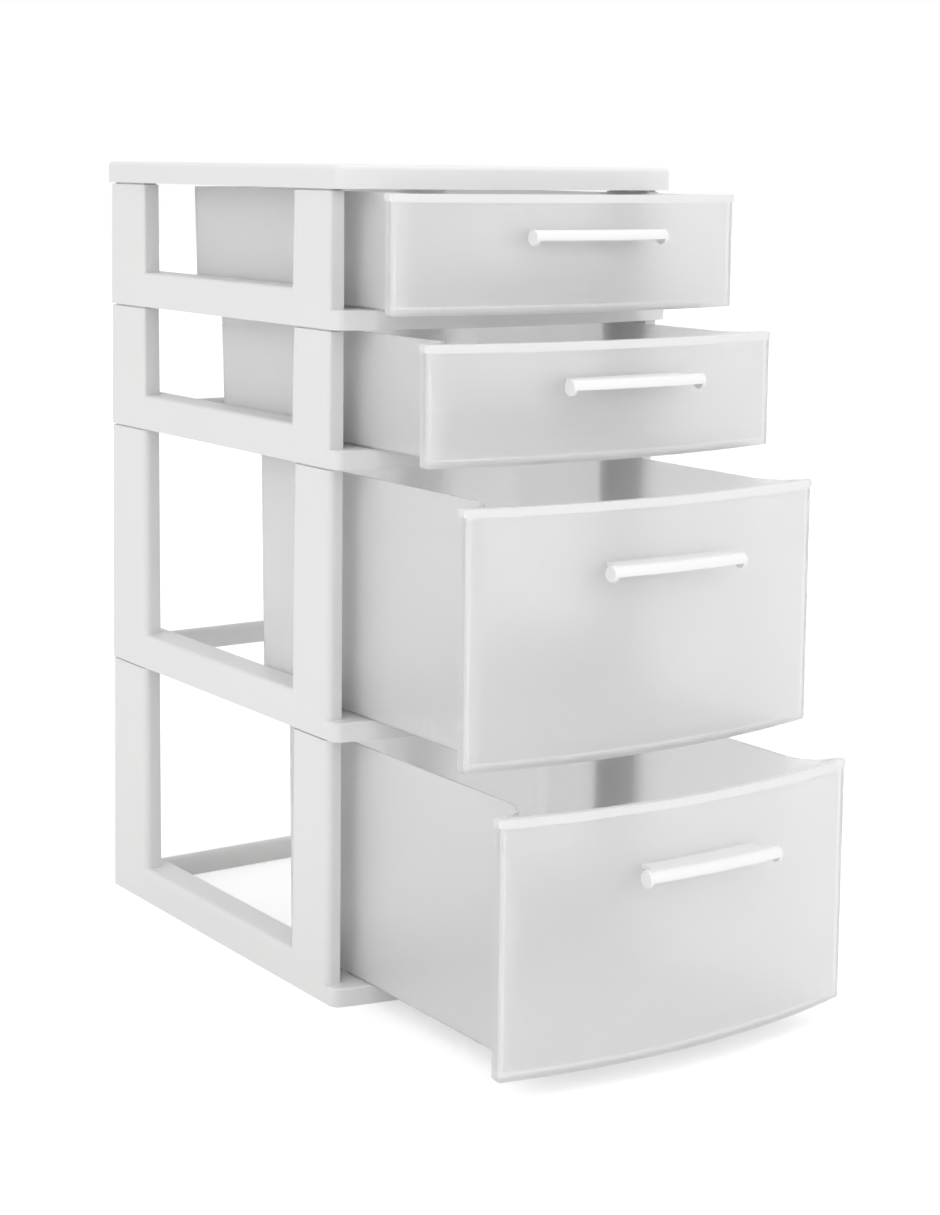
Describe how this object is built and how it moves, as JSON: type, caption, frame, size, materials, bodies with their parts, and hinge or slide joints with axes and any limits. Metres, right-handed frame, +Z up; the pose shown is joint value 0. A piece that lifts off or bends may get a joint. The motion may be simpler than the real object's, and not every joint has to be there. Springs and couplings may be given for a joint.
{
  "type": "plastic drawer tower",
  "caption": "Free-standing plastic drawer tower: stacked open frame tiers, a flat top, and translucent drawers with bowed fronts and bar handles that slide on side rails.",
  "frame": {"origin": "on the floor, under the middle of the frame's plan", "axes": "+X across the front, +Y towards the rear (the drawers open towards -Y), +Z up"},
  "size_m": [0.327, 0.656, 0.6542],
  "materials": {
    "frame_plastic": "satin",
    "drawer_plastic": "frosted",
    "handle_plastic": "glossy"
  },
  "bodies": {
    "frame": {"top_panel": "frame_plastic", "frame_tier_1": "frame_plastic", "frame_tier_2": "frame_plastic", "frame_tier_3": "frame_plastic", "frame_tier_4": "frame_plastic"},
    "sliding_drawer_1": {"drawer_1": "drawer_plastic", "handle_1": "handle_plastic"},
    "sliding_drawer_2": {"drawer_2": "drawer_plastic", "handle_2": "handle_plastic"},
    "sliding_drawer_3": {"drawer_3": "drawer_plastic", "handle_3": "handle_plastic"},
    "sliding_drawer_4": {"drawer_4": "drawer_plastic", "handle_4": "handle_plastic"}
  },
  "joints": [
    {"name": "drawer_1_slide", "type": "slide", "parent": "frame", "child": "sliding_drawer_1", "axis": [0, -1, 0], "range_m": [-0.078, 0.212]},
    {"name": "drawer_2_slide", "type": "slide", "parent": "frame", "child": "sliding_drawer_2", "axis": [0, -1, 0], "range_m": [-0.126, 0.164]},
    {"name": "drawer_3_slide", "type": "slide", "parent": "frame", "child": "sliding_drawer_3", "axis": [0, -1, 0], "range_m": [-0.178, 0.112]},
    {"name": "drawer_4_slide", "type": "slide", "parent": "frame", "child": "sliding_drawer_4", "axis": [0, -1, 0], "range_m": [-0.225, 0.065]}
  ]
}
